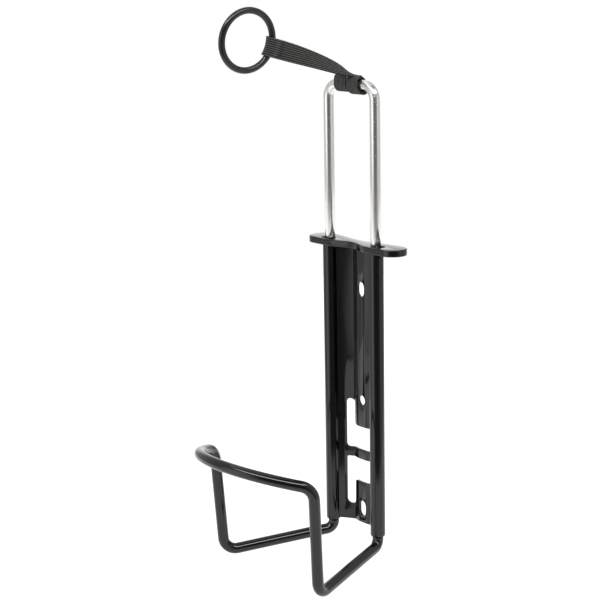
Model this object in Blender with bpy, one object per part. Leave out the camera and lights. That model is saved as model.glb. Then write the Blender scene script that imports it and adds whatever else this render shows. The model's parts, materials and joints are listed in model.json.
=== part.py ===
"""Adjustable bicycle bottle cage for large drink bottles.

A black extruded backplate with a round tube along each side bolts to the bosses of the frame.
A bent rod loop plugs into the lower ends of the tubes and carries the bottle. A bright steel
bail slides in their upper ends, through a lock plate that lies on the tubes. An elastic strap
round the bail's top bar holds a ring that slips over the bottle's neck.

Units are metres. The origin lies on the flat rear face of the backplate's middle strip, halfway
between its upper two bolt holes. +X is to the right seen from the rider's side, +Y points at
the bicycle's tube and +Z is up.
"""

import math

import bmesh
import bpy
from mathutils import Matrix, Vector

# ---- clearances
ROD_CLEARANCE = 0.0003      # round a rod in a tube, a slot or the strap's sleeve
SEAT_GAP = 0.0003           # between pieces that lie on each other

# ---- bolting to the frame
BOSS_PITCH = 0.064          # from each bolt hole to the next
HOLE_WIDTH = 0.0057
UPPER_SLOT_HEIGHT = 0.0084
LOWER_SLOT_HEIGHT = 0.0090
TUBE_ABOVE_HOLES = 0.0234   # tube's top end over the upper bolt hole
TUBE_BELOW_HOLES = 0.0095   # tube's lower end under the lower bolt hole

# ---- backplate extrusion
LEG_SPACING = 0.0402        # between the axes of the two tubes
ROD_DIAMETER = 0.0056       # of the bail, and of the loop's necks in the tubes
TUBE_WALL = 0.0011
WEB_WALL = 0.0015
STRIP_HALF = 0.0032         # half width of the flat middle strip
STRIP_SETBACK = 0.0053      # its front face behind the tubes' axes
VALLEY_HALF = 0.0080        # the deepest fold on each side of the strip
VALLEY_SETBACK = 0.0063
ROOT_ANGLE = math.radians(18.0)   # where the web leaves the tube
FOLD_RADIUS = 0.0014        # of the web's middle line at each fold
WEB_SHORTER = 0.0010        # the web ends this much above the tubes' lower ends

# ---- openings in the web, on both sides of a cross-bar between the lower two bolt holes
BAR_HEIGHT = 0.0055
OPENING_HEIGHT = 0.0136     # across the middle, from the cross-bar to the tongue's end
ARM_HEIGHT = 0.0286         # at the sides, from the cross-bar along the tongue
OPENING_HALF = 0.0127
TONGUE_HALF = 0.0070
OPENING_CORNER = 0.0018

# ---- lock plate
PLATE_THICKNESS = 0.0038
LOBE_RADIUS = 0.0077
LOBE_OFFSET = 0.0107        # lobe's centre outside the leg
LOBE_SETBACK = 0.0030       # lobe's centre behind the leg
WAIST_FRONT = -0.0006       # the waist's front edge behind the legs
WAIST_BACK = 0.0068
SLOT_TRAVEL = 0.0030        # how far the leg's slot runs on outwards

# ---- neck bail
BAIL_IN_TUBE = 0.0314       # length of leg inside the tube
BAIL_ABOVE_TUBE = 0.0906    # from the tube's top to the axis of the top bar
BAIL_BEND = 0.0080

# ---- lower loop
LOOP_ROD_DIAMETER = 0.0062
LOOP_IN_TUBE = 0.0305
HEEL_BELOW_TUBE = 0.0060    # the bend under the tube, to the rail's axis
HEEL_BEND = 0.0050
TOE_BEND = 0.0076
SHOULDER_REACH = 0.0068     # length of the bend from the front leg into the hoop, each way
TOE_OUT = 0.0241            # front corner outside the tube's axis
TOE_FORWARD = 0.0610
TOE_DROP = 0.0072           # below the heel
FRONT_LEG_HEIGHT = 0.0607
SHOULDER_OUT = 0.00205      # top of the front leg outside its foot
SHOULDER_FORWARD = 0.0035
HOOP_RADIUS = 0.0504
HOOP_BULGE = 0.0304         # how far the hoop runs forward of its shoulders
HOOP_SLOPE = 0.293           # rise of the hoop for each metre forward

# ---- strap and ring
STRAP_WIDTH = 0.0100
STRAP_THICKNESS = 0.0016
SLEEVE_TURNS = 2            # turns of strap side by side on the top bar
TURN_PITCH = 0.0115
STRAP_FORWARD = 0.0530      # from the top bar's axis to the ring's section in the strap's loop
STRAP_CLIMB = 0.0221
STRAP_START_ANGLE = math.radians(24.0)
STRAP_END_ANGLE = math.radians(15.0)
RING_TILT = math.radians(8.0)     # the strap twists this much past upright
TWIST_SHARE = 0.50          # the strap turns from level to upright in this share of its length
RING_SECTION = 0.00355
RING_MEAN_DIAMETER = 0.0310
RING_SWING_ROOM = 0.0006    # side room round the ring in the strap's loop
STITCH_WIDTH = 0.0007
STITCH_OFFSET = 0.0064      # row of stitches behind the ring's section

# ---- places worked out from the sizes
UPPER_HOLE_Z = 0.5 * BOSS_PITCH
MIDDLE_HOLE_Z = -0.5 * BOSS_PITCH
LOWER_HOLE_Z = -1.5 * BOSS_PITCH
TUBE_TOP = UPPER_HOLE_Z + TUBE_ABOVE_HOLES
TUBE_BOTTOM = LOWER_HOLE_Z - TUBE_BELOW_HOLES
TUBE_Y = -(STRIP_SETBACK + WEB_WALL)
LEG_X = 0.5 * LEG_SPACING
ROD_RADIUS = 0.5 * ROD_DIAMETER
LOOP_RADIUS = 0.5 * LOOP_ROD_DIAMETER
BORE_RADIUS = ROD_RADIUS + ROD_CLEARANCE
TUBE_RADIUS = BORE_RADIUS + TUBE_WALL
BAR_Z = TUBE_TOP + BAIL_ABOVE_TUBE
SLEEVE_RADIUS = BORE_RADIUS + STRAP_THICKNESS
RING_RADIUS = 0.5 * RING_MEAN_DIAMETER

ROUND_SIDES = 32            # round tubes and bores
ROD_BEVEL = 8               # gives the rods 20 sides
ARC_STEPS = 6               # segments in a small round corner
BEND_STEPS = 10             # segments in a bend of rod


def clear_scene():
    """Remove what the file opened with."""
    for obj in list(bpy.data.objects):
        bpy.data.objects.remove(obj, do_unlink=True)


def make_material(name, colour, roughness, metallic):
    """A Principled material of one colour."""
    material = bpy.data.materials.new(name)
    material.use_nodes = True
    shader = material.node_tree.nodes["Principled BSDF"]
    shader.inputs["Base Color"].default_value = (*colour, 1.0)
    shader.inputs["Roughness"].default_value = roughness
    shader.inputs["Metallic"].default_value = metallic
    return material


def add_object(name, bm, material=None, origin=(0.0, 0.0, 0.0)):
    """Turn a bmesh in world places into an object whose origin is at the given point."""
    bmesh.ops.recalc_face_normals(bm, faces=bm.faces)
    bmesh.ops.translate(bm, verts=bm.verts, vec=-Vector(origin))
    mesh = bpy.data.meshes.new(name)
    bm.to_mesh(mesh)
    bm.free()
    if material:
        mesh.materials.append(material)
    mesh.shade_smooth()
    mesh.set_sharp_from_angle(angle=math.radians(35.0))
    obj = bpy.data.objects.new(name, mesh)
    obj.location = origin
    bpy.context.collection.objects.link(obj)
    return obj


def combine(body, other, operation):
    """Join another solid to a body, or cut it away, with the other kept as a hidden guide."""
    other.hide_render = True
    other.display_type = "WIRE"
    modifier = body.modifiers.new(other.name, "BOOLEAN")
    modifier.operation = operation
    modifier.solver = "EXACT"
    modifier.object = other


def corner_arc(before, corner, after, radius, steps):
    """Points of the round that replaces a corner between two straight runs."""
    back = (before - corner).normalized()
    on = (after - corner).normalized()
    half = 0.5 * back.angle(on)
    reach = radius / math.tan(half)
    centre = corner + (back + on).normalized() * (radius / math.sin(half))
    start = corner + back * reach - centre
    axis = start.cross(corner + on * reach - centre).normalized()
    turn = math.pi - 2.0 * half
    return [centre + Matrix.Rotation(turn * i / steps, 3, axis) @ start for i in range(steps + 1)]


def rounded_path(corners, radii, steps):
    """An open line through corners in space, each inner corner rounded to its radius."""
    points = [corners[0]]
    for i, radius in enumerate(radii):
        points += corner_arc(corners[i], corners[i + 1], corners[i + 2], radius, steps)
    return points + [corners[-1]]


def rounded_outline(corners, radii, steps):
    """A closed flat outline with each corner rounded to its radius."""
    points = []
    count = len(corners)
    for i, radius in enumerate(radii):
        before, corner, after = corners[i - 1], corners[i], corners[(i + 1) % count]
        if radius > 0.0:
            points += corner_arc(before, corner, after, radius, steps)
        else:
            points.append(corner)
    return points


def soft_bend(start, corner, end, steps):
    """A smooth bend from start to end that leaves both along the lines to the corner."""
    pull = 0.6
    first = start.lerp(corner, pull)
    second = end.lerp(corner, pull)
    points = []
    for i in range(steps + 1):
        t = i / steps
        s = 1.0 - t
        points.append(s**3 * start + 3 * s * s * t * first + 3 * s * t * t * second + t**3 * end)
    return points


def prism(name, outline, low, high, axis, material=None):
    """Extrude a flat outline, whose points have 0 along the axis, from low to high."""
    direction = Vector(axis)
    bm = bmesh.new()
    verts = [bm.verts.new(point + direction * low) for point in outline]
    base = bm.faces.new(verts)
    extruded = bmesh.ops.extrude_face_region(bm, geom=[base])
    moved = [item for item in extruded["geom"] if isinstance(item, bmesh.types.BMVert)]
    bmesh.ops.translate(bm, verts=moved, vec=direction * (high - low))
    return add_object(name, bm, material)


def round_bar(name, centre, radius, length, along="Z", material=None):
    """A plain round bar centred on a point."""
    turn = {
        "X": Matrix.Rotation(math.pi / 2, 4, "Y"),
        "Y": Matrix.Rotation(math.pi / 2, 4, "X"),
        "Z": Matrix.Identity(4),
    }[along]
    bm = bmesh.new()
    bmesh.ops.create_cone(bm, cap_ends=True, segments=ROUND_SIDES, radius1=radius, radius2=radius,
                          depth=length, matrix=Matrix.Translation(centre) @ turn)
    return add_object(name, bm, material)


def rod(name, points, radii, material, origin=(0.0, 0.0, 0.0)):
    """A rod of round section along points in world places, with its radius at each point."""
    curve = bpy.data.curves.new(name, "CURVE")
    curve.dimensions = "3D"
    curve.twist_mode = "MINIMUM"
    curve.bevel_depth = 1.0
    curve.bevel_resolution = ROD_BEVEL
    curve.use_fill_caps = True
    spline = curve.splines.new("POLY")
    spline.points.add(len(points) - 1)
    for target, point, radius in zip(spline.points, points, radii):
        target.co = (*(point - Vector(origin)), 1.0)
        target.radius = radius
    curve.materials.append(material)
    obj = bpy.data.objects.new(name, curve)
    obj.location = origin
    bpy.context.collection.objects.link(obj)
    return obj


def web_section():
    """Closed outline of the folded web in plan, from inside one tube's wall to the other's."""
    root_x = LEG_X - BORE_RADIUS * math.cos(ROOT_ANGLE)
    root_y = BORE_RADIUS * math.sin(ROOT_ANGLE)
    middle = 0.5 * WEB_WALL
    right = [
        Vector((STRIP_HALF, STRIP_SETBACK + middle, 0.0)),
        Vector((VALLEY_HALF, VALLEY_SETBACK + middle, 0.0)),
        Vector((root_x, root_y, 0.0)),
    ]
    left = [Vector((-point.x, point.y, 0.0)) for point in reversed(right)]
    line = rounded_path(left + right, [FOLD_RADIUS] * 4, 4)
    front, back = [], []
    for i, point in enumerate(line):
        along = line[min(i + 1, len(line) - 1)] - line[max(i - 1, 0)]
        side = Vector((-along.y, along.x, 0.0)).normalized() * middle
        back.append(point + side)
        front.append(point - side)
    outline = front + back[::-1]
    return [point + Vector((0.0, TUBE_Y, 0.0)) for point in outline]


def slot_outline(width, height, centre_z):
    """Upright slot with round ends, in the X-Z plane."""
    half = 0.5 * width
    reach = 0.5 * height - half
    points = []
    for end in (1, -1):
        first = 0.0 if end == 1 else math.pi
        for i in range(ROUND_SIDES // 2 + 1):
            angle = first + math.pi * i / (ROUND_SIDES // 2)
            x = half * math.cos(angle)
            points.append(Vector((x, 0.0, centre_z + end * reach + half * math.sin(angle))))
    return points


def fork_outline(centre_z, side):
    """Opening that wraps a tongue: a wide mouth at the cross-bar and an arm on each side."""
    near = centre_z + side * 0.5 * BAR_HEIGHT
    tongue = near + side * OPENING_HEIGHT
    far = near + side * ARM_HEIGHT
    arm_round = 0.49 * (OPENING_HALF - TONGUE_HALF)
    flat = [
        (-OPENING_HALF, near, OPENING_CORNER),
        (OPENING_HALF, near, OPENING_CORNER),
        (OPENING_HALF, far, arm_round),
        (TONGUE_HALF, far, arm_round),
        (TONGUE_HALF, tongue, OPENING_CORNER),
        (-TONGUE_HALF, tongue, OPENING_CORNER),
        (-TONGUE_HALF, far, arm_round),
        (-OPENING_HALF, far, arm_round),
    ]
    corners = [Vector((x, 0.0, z)) for x, z, _ in flat]
    return rounded_outline(corners, [radius for _, _, radius in flat], ARC_STEPS)


def make_backplate(material):
    """Extruded backplate: two tubes and the folded web between them, drilled and cut out."""
    web_top = TUBE_TOP
    web_bottom = TUBE_BOTTOM + WEB_SHORTER
    body = prism("backplate", web_section(), web_bottom, web_top, (0, 0, 1), material)
    middle = 0.5 * (TUBE_TOP + TUBE_BOTTOM)
    length = TUBE_TOP - TUBE_BOTTOM
    for side, word in ((-1, "left"), (1, "right")):
        centre = Vector((side * LEG_X, TUBE_Y, middle))
        tube = round_bar(f"{word}_tube_solid", centre, TUBE_RADIUS, length)
        combine(body, tube, "UNION")
    for side, word in ((-1, "left"), (1, "right")):
        centre = Vector((side * LEG_X, TUBE_Y, middle))
        bore = round_bar(f"{word}_bore", centre, BORE_RADIUS, 1.2 * length)
        combine(body, bore, "DIFFERENCE")
    front, back = 2.0 * TUBE_Y, -TUBE_Y
    cuts = (
        ("upper_slot", slot_outline(HOLE_WIDTH, UPPER_SLOT_HEIGHT, UPPER_HOLE_Z)),
        ("lower_slot", slot_outline(HOLE_WIDTH, LOWER_SLOT_HEIGHT, LOWER_HOLE_Z)),
        ("upper_opening", fork_outline(0.5 * (MIDDLE_HOLE_Z + LOWER_HOLE_Z), 1)),
        ("lower_opening", fork_outline(0.5 * (MIDDLE_HOLE_Z + LOWER_HOLE_Z), -1)),
    )
    for name, outline in cuts:
        combine(body, prism(name, outline, front, back, (0, 1, 0)), "DIFFERENCE")
    centre = Vector((0.0, TUBE_Y, MIDDLE_HOLE_Z))
    drill = round_bar("middle_hole", centre, 0.5 * HOLE_WIDTH, back - front, "Y")
    combine(body, drill, "DIFFERENCE")
    return body


def loop_half(side):
    """Half of the lower loop, from inside its tube to the middle of the hoop."""
    heel = Vector((side * LEG_X, TUBE_Y, TUBE_BOTTOM - HEEL_BELOW_TUBE))
    inside = Vector((heel.x, heel.y, TUBE_BOTTOM + LOOP_IN_TUBE))
    toe = heel + Vector((side * TOE_OUT, -TOE_FORWARD, -TOE_DROP))
    shoulder = toe + Vector((side * SHOULDER_OUT, -SHOULDER_FORWARD, FRONT_LEG_HEIGHT))
    hoop_y = shoulder.y - HOOP_BULGE + HOOP_RADIUS
    start = math.acos(abs(shoulder.x) / HOOP_RADIUS)

    def hoop_point(angle):
        x = side * HOOP_RADIUS * math.cos(angle)
        y = hoop_y - HOOP_RADIUS * math.sin(angle)
        return Vector((x, y, shoulder.z + HOOP_SLOPE * (shoulder.y - y)))

    neck = Vector((heel.x, heel.y, TUBE_BOTTOM))
    points = rounded_path([inside, heel, toe, shoulder], [HEEL_BEND, TOE_BEND], BEND_STEPS)
    points.insert(1, neck)
    leg = (toe - shoulder).normalized()
    bend_end = start + SHOULDER_REACH / HOOP_RADIUS
    bend = soft_bend(shoulder + leg * SHOULDER_REACH, shoulder, hoop_point(bend_end), BEND_STEPS)
    steps = 12
    arc = [hoop_point(bend_end + (0.5 * math.pi - bend_end) * i / steps)
           for i in range(1, steps + 1)]
    return points[:-1] + bend + arc


def make_bottle_loop(material):
    """One rod, necked down in both tubes: along the rails, up the front legs, round the hoop."""
    points = loop_half(-1) + loop_half(1)[-2::-1]
    necks = (0, 1, len(points) - 2, len(points) - 1)
    radii = [ROD_RADIUS if i in necks else LOOP_RADIUS for i in range(len(points))]
    return rod("bottle_loop", points, radii, material)


def make_neck_bail(material, empty):
    """Bright U of rod whose legs slide in the tubes."""
    foot = TUBE_TOP - BAIL_IN_TUBE
    corners = [Vector((x, TUBE_Y, z)) for x, z in
               ((-LEG_X, foot), (-LEG_X, BAR_Z), (LEG_X, BAR_Z), (LEG_X, foot))]
    points = rounded_path(corners, [BAIL_BEND, BAIL_BEND], BEND_STEPS)
    bail = rod("neck_bail", points, [ROD_RADIUS] * len(points), material, empty.location)
    bail.parent = empty
    bail.location = (0.0, 0.0, 0.0)
    return bail


def plate_edge(half_width, middle, end):
    """A smooth edge in plan, level at the waist and at the lobe, from left to right."""
    steps = 24
    points = []
    for i in range(steps + 1):
        share = -1.0 + 2.0 * i / steps
        y = middle + (end - middle) * 0.5 * (1.0 - math.cos(math.pi * share))
        points.append(Vector((share * half_width, TUBE_Y + y, 0.0)))
    return points


def plate_outline():
    """Dog-bone outline of the lock plate in plan."""
    lobe_x = LEG_X + LOBE_OFFSET
    lobe_y = LOBE_SETBACK
    points = plate_edge(LEG_X - ROD_RADIUS, WAIST_FRONT, lobe_y - LOBE_RADIUS)
    steps = 20
    for i in range(steps + 1):
        angle = -0.5 * math.pi + math.pi * i / steps
        x = lobe_x + LOBE_RADIUS * math.cos(angle)
        points.append(Vector((x, TUBE_Y + lobe_y + LOBE_RADIUS * math.sin(angle), 0.0)))
    points += plate_edge(lobe_x, WAIST_BACK, lobe_y + LOBE_RADIUS)[-2:0:-1]
    for i in range(steps + 1):
        angle = 0.5 * math.pi + math.pi * i / steps
        x = -lobe_x + LOBE_RADIUS * math.cos(angle)
        points.append(Vector((x, TUBE_Y + lobe_y + LOBE_RADIUS * math.sin(angle), 0.0)))
    return points


def leg_slot(side):
    """Slot for a bail leg: its inner end fits round the leg, and it runs on outwards."""
    points = []
    sides = ROUND_SIDES // 2
    for end in (0, 1):
        centre = LEG_X + (SLOT_TRAVEL if end == 0 else 0.0)
        for i in range(sides + 1):
            angle = -0.5 * math.pi + math.pi * (end + i / sides)
            x = side * (centre + BORE_RADIUS * math.cos(angle))
            points.append(Vector((x, TUBE_Y + BORE_RADIUS * math.sin(angle), 0.0)))
    return points


def make_lock_plate(material, empty):
    """Flat plate on the tube ends, with a slot for each leg of the bail."""
    low = TUBE_TOP + SEAT_GAP
    high = low + PLATE_THICKNESS
    plate = prism("lock_plate", plate_outline(), low, high, (0, 0, 1), material)
    for side, word in ((-1, "left"), (1, "right")):
        cutter = prism(f"{word}_leg_slot", leg_slot(side), low - high, 2.0 * high, (0, 0, 1))
        combine(plate, cutter, "DIFFERENCE")
    plate.parent = empty
    plate.matrix_parent_inverse = Matrix.Translation(-empty.location)
    return plate


def strap_route(t):
    """Middle of the strap in the Y-Z plane, from the top bar (0) to the ring's section (1)."""
    start = Vector((0.0, TUBE_Y, BAR_Z + BORE_RADIUS + 0.5 * STRAP_THICKNESS))
    end = loop_centre()
    pull = 0.33 * STRAP_FORWARD
    first = start + pull * Vector((0.0, -math.cos(STRAP_START_ANGLE), math.sin(STRAP_START_ANGLE)))
    second = end + pull * Vector((0.0, math.cos(STRAP_END_ANGLE), -math.sin(STRAP_END_ANGLE)))
    s = 1.0 - t
    return s**3 * start + 3 * s * s * t * first + 3 * s * t * t * second + t**3 * end


def loop_centre():
    """Where the ring's section passes through the strap's end loop."""
    return Vector((0.0, TUBE_Y - STRAP_FORWARD, BAR_Z + STRAP_CLIMB))


def tilted(direction):
    """A direction turned with the strap's end past upright."""
    return Matrix.Rotation(-RING_TILT, 3, ring_outward()) @ Vector(direction)


def ring_tangent():
    """Direction of the ring where the strap holds it, which is the strap's width there."""
    return tilted((0.0, math.sin(STRAP_END_ANGLE), math.cos(STRAP_END_ANGLE)))


def ring_side():
    """Square to the ring's plane."""
    return tilted((1.0, 0.0, 0.0))


def ring_outward():
    """From the strap's loop towards the ring's centre."""
    return Vector((0.0, -math.cos(STRAP_END_ANGLE), math.sin(STRAP_END_ANGLE)))


def band_mesh():
    """Doubled strap, level on the bar and twisted upright at the ring."""
    steps = 18
    bm = bmesh.new()
    rings = []
    for i in range(steps + 1):
        t = i / steps
        centre = strap_route(t)
        along = (strap_route(min(t + 0.01, 1.0)) - strap_route(max(t - 0.01, 0.0))).normalized()
        turn = min(t / TWIST_SHARE, 1.0)
        turn = (0.5 * math.pi + RING_TILT) * turn * turn * (3.0 - 2.0 * turn)
        level = Vector((1.0, 0.0, 0.0))
        upright = along.cross(level)
        width = (math.cos(turn) * level - math.sin(turn) * upright) * 0.5 * STRAP_WIDTH
        depth = width.cross(along).normalized() * STRAP_THICKNESS
        corners = (width + depth, width - depth, -width - depth, -width + depth)
        rings.append([bm.verts.new(centre + corner) for corner in corners])
    bm.faces.new(rings[0])
    bm.faces.new(rings[-1])
    for here, there in zip(rings, rings[1:]):
        for k in range(4):
            bm.faces.new((here[k], here[k - 1], there[k - 1], there[k]))
    return bm


def loop_outline(radius):
    """Outline round the ring's section, longer towards the ring's centre, as unit offsets."""
    reach = RING_RADIUS - math.sqrt(RING_RADIUS**2 - (0.5 * STRAP_WIDTH) ** 2)
    outward = ring_outward()
    side = ring_side()
    points = []
    sides = ROUND_SIDES // 2
    for end in (0, 1):
        centre = outward * (reach if end == 0 else 0.0)
        for i in range(sides + 1):
            angle = -0.5 * math.pi + math.pi * (end + i / sides)
            points.append(centre + radius * (math.cos(angle) * outward + math.sin(angle) * side))
    return [loop_centre() + point for point in points]


def make_strap(material, empty):
    """Elastic strap as one plain solid: turns on the bar, the doubled run and the end loop."""
    length = SLEEVE_TURNS * TURN_PITCH
    bar = Vector((0.0, TUBE_Y, BAR_Z))
    strap = round_bar("elastic_strap", bar, SLEEVE_RADIUS, length, "X", material)
    combine(strap, add_object("strap_run", band_mesh()), "UNION")
    half = 0.5 * STRAP_WIDTH
    tangent = ring_tangent()
    eye = 0.5 * RING_SECTION + RING_SWING_ROOM
    outer = loop_outline(eye + STRAP_THICKNESS)
    combine(strap, prism("strap_end_loop", outer, -half, half, tangent), "UNION")
    combine(strap, prism("ring_eye", loop_outline(eye), -2.0 * half, 2.0 * half, tangent),
            "DIFFERENCE")
    bore = round_bar("bar_bore", bar, BORE_RADIUS, 1.5 * length, "X")
    combine(strap, bore, "DIFFERENCE")
    strap.parent = empty
    strap.matrix_parent_inverse = Matrix.Translation(-empty.location)
    return strap


def thread_frame(grow):
    """Four corners round the doubled strap at the row of stitches, grown outwards."""
    base = loop_centre() - ring_outward() * STITCH_OFFSET
    half_width = 0.5 * STRAP_WIDTH + grow
    half_depth = STRAP_THICKNESS + grow
    side = ring_side()
    return [base + ring_tangent() * half_width * a + side * half_depth * b
            for a, b in ((1, 1), (-1, 1), (-1, -1), (1, -1))]


def make_stitching(material, empty):
    """Row of stitches behind the ring, as one loop of thread round both layers of strap."""
    inner = thread_frame(SEAT_GAP)
    outer = thread_frame(SEAT_GAP + STITCH_WIDTH)
    outward = ring_outward()
    half = 0.5 * STITCH_WIDTH
    stitches = prism("strap_stitching", outer, -half, half, outward, material)
    hollow = prism("thread_hollow", inner, -2.0 * half, 2.0 * half, outward)
    combine(stitches, hollow, "DIFFERENCE")
    stitches.parent = empty
    stitches.matrix_parent_inverse = Matrix.Translation(-empty.location)
    return stitches


def make_ring(material, empty):
    """Round ring for the bottle's neck, in the strap's end loop."""
    centre = loop_centre() + ring_outward() * RING_RADIUS
    bm = bmesh.new()
    around, section = 48, 16
    side = ring_side()
    circle = []
    for i in range(section):
        angle = 2.0 * math.pi * i / section
        offset = ring_outward() * math.cos(angle) + side * math.sin(angle)
        place = centre + ring_outward() * RING_RADIUS + offset * 0.5 * RING_SECTION
        circle.append(bm.verts.new(place))
    edges = [bm.edges.new((circle[i - 1], circle[i])) for i in range(section)]
    bmesh.ops.spin(bm, geom=circle + edges, cent=centre, axis=side, angle=2.0 * math.pi,
                   steps=around, use_merge=True)
    ring = add_object("neck_ring", bm, material)
    ring.parent = empty
    ring.matrix_parent_inverse = Matrix.Translation(-empty.location)
    return ring


def axis_empty(name, place):
    """Empty on a joint's axis, for the piece that turns or slides there."""
    empty = bpy.data.objects.new(name, None)
    empty.location = place
    bpy.context.collection.objects.link(empty)
    return empty


def main():
    clear_scene()
    black = make_material("black_anodised", (0.012, 0.012, 0.013), 0.28, 0.6)
    bright = make_material("polished_steel", (0.62, 0.62, 0.60), 0.22, 1.0)
    plate_black = make_material("plate_black", (0.03, 0.03, 0.032), 0.35, 0.6)
    elastic = make_material("black_elastic", (0.014, 0.014, 0.015), 0.9, 0.0)
    thread = make_material("black_thread", (0.01, 0.01, 0.01), 0.8, 0.0)
    rubber = make_material("ring_black", (0.012, 0.012, 0.012), 0.45, 0.0)

    slide = axis_empty("height_slide_axis", Vector((0.0, TUBE_Y, TUBE_TOP)))
    tip = axis_empty("lock_tip_axis", Vector((-LEG_X - TUBE_RADIUS, TUBE_Y, TUBE_TOP)))
    swing = axis_empty("strap_swing_axis", Vector((0.0, TUBE_Y, BAR_Z)))
    ring_axis = axis_empty("ring_swing_axis", loop_centre())

    make_backplate(black)
    make_bottle_loop(black)
    make_neck_bail(bright, slide)
    make_lock_plate(plate_black, tip)
    make_strap(elastic, swing)
    make_stitching(thread, swing)
    make_ring(rubber, ring_axis)


main()
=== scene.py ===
"""Adjustable bicycle bottle cage: the finished look of every piece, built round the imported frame.

The file is laid out as an add-on. Each operator builds one piece, the stage operator builds the
floor, the light and the camera, and main() calls them in order.
"""

import json
import math

import bmesh
import bpy
from mathutils import Matrix, Vector

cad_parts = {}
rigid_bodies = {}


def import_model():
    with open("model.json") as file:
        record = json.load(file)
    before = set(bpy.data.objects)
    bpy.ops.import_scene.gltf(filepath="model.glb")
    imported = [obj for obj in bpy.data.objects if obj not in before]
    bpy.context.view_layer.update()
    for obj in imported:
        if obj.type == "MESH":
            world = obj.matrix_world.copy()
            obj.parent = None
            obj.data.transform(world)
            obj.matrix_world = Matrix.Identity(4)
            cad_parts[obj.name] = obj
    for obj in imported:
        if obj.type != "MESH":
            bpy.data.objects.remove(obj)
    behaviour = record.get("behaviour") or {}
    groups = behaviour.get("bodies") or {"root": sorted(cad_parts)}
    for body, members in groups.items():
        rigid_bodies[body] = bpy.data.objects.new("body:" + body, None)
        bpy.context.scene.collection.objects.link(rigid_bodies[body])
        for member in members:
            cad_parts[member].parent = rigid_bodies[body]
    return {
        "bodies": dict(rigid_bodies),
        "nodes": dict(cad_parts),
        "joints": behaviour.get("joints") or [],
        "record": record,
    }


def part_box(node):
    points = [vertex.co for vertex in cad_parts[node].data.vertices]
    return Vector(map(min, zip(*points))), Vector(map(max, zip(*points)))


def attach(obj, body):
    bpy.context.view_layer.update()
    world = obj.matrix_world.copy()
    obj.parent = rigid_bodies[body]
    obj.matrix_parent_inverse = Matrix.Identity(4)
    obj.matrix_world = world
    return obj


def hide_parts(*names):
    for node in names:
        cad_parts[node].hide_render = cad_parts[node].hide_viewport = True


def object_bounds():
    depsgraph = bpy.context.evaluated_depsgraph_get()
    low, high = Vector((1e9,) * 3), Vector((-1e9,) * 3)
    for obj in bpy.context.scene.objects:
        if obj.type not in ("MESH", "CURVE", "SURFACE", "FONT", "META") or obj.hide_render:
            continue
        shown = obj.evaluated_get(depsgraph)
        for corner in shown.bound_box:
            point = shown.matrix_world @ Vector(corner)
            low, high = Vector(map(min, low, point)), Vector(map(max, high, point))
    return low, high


bl_info = {
    "name": "Adjustable Bottle Cage",
    "version": (1, 0, 0),
    "blender": (4, 5, 0),
    "location": "View3D > Sidebar > Bottle Cage",
    "description": "Builds an adjustable bicycle bottle cage piece by piece",
    "category": "Object",
}

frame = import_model()
CAD_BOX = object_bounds()
MM = 0.001

# ---- places read from the frame
BAIL_LOW, BAIL_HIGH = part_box("neck_bail")
PLATE_LOW, PLATE_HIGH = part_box("lock_plate")
BACK_LOW, BACK_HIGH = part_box("backplate")
RING_LOW, RING_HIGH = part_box("neck_ring")

ROD_RADIUS = 0.5 * (BAIL_HIGH.y - BAIL_LOW.y)
TUBE_Y = 0.5 * (BAIL_HIGH.y + BAIL_LOW.y)
LEG_X = BAIL_HIGH.x - ROD_RADIUS
BAR_Z = BAIL_HIGH.z - ROD_RADIUS
TUBE_RADIUS = BACK_HIGH.x - LEG_X
TUBE_TOP = BACK_HIGH.z
TUBE_BOTTOM = BACK_LOW.z
RING_CENTRE = 0.5 * (RING_LOW + RING_HIGH)

# ---- the ring's swing joint gives the strap's end loop
RING_JOINT = next(j for j in frame["joints"] if j["name"] == "ring_swing")
LOOP_PLACE = Vector(RING_JOINT["pos_m"])
RING_TANGENT = Vector(RING_JOINT["axis"]).normalized()
LOOP_OUTWARD = (RING_CENTRE - LOOP_PLACE).normalized()
RING_SIDE = RING_TANGENT.cross(LOOP_OUTWARD).normalized()
RING_RADIUS = (RING_CENTRE - LOOP_PLACE).length
RING_SECTION_RADIUS = 1.775 * MM
RING_LEAN = math.asin(RING_TANGENT.x)
SIDE = Vector((1.0, 0.0, 0.0))

# ---- bolt holes and openings of the web
BOSS_PITCH = 64.0 * MM
HOLE_WIDTH = 5.7 * MM
ROUND_HOLE_HEIGHT = HOLE_WIDTH + 0.02 * MM
UPPER_SLOT_HEIGHT = 8.4 * MM
LOWER_SLOT_HEIGHT = 9.0 * MM
BAR_HEIGHT = 5.5 * MM
OPENING_HEIGHT = 13.6 * MM
ARM_HEIGHT = 28.6 * MM
OPENING_HALF = 12.7 * MM
TONGUE_HALF = 7.0 * MM
OPENING_CORNER = 1.8 * MM

# ---- folds of the web
WEB_WALL = 1.5 * MM
STRIP_HALF = 3.2 * MM
STRIP_SETBACK = -TUBE_Y - WEB_WALL
VALLEY_HALF = 8.0 * MM
VALLEY_SETBACK = 6.3 * MM
ROOT_ANGLE = math.radians(18.0)
FOLD_RADIUS = 1.4 * MM
WEB_SHORTER = 1.0 * MM
BORE_RADIUS = ROD_RADIUS + 0.3 * MM
SWAGE_HEIGHT = 1.3 * MM     # the tube's lower end is drawn in over this height
SWAGE_DEPTH = 0.45 * MM

# ---- lock plate
LOBE_RADIUS = 7.7 * MM
LOBE_OFFSET = 10.7 * MM
LOBE_SETBACK = 3.0 * MM
WAIST_FRONT = -0.6 * MM
WAIST_BACK = 6.8 * MM
SLOT_TRAVEL = 3.0 * MM

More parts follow.
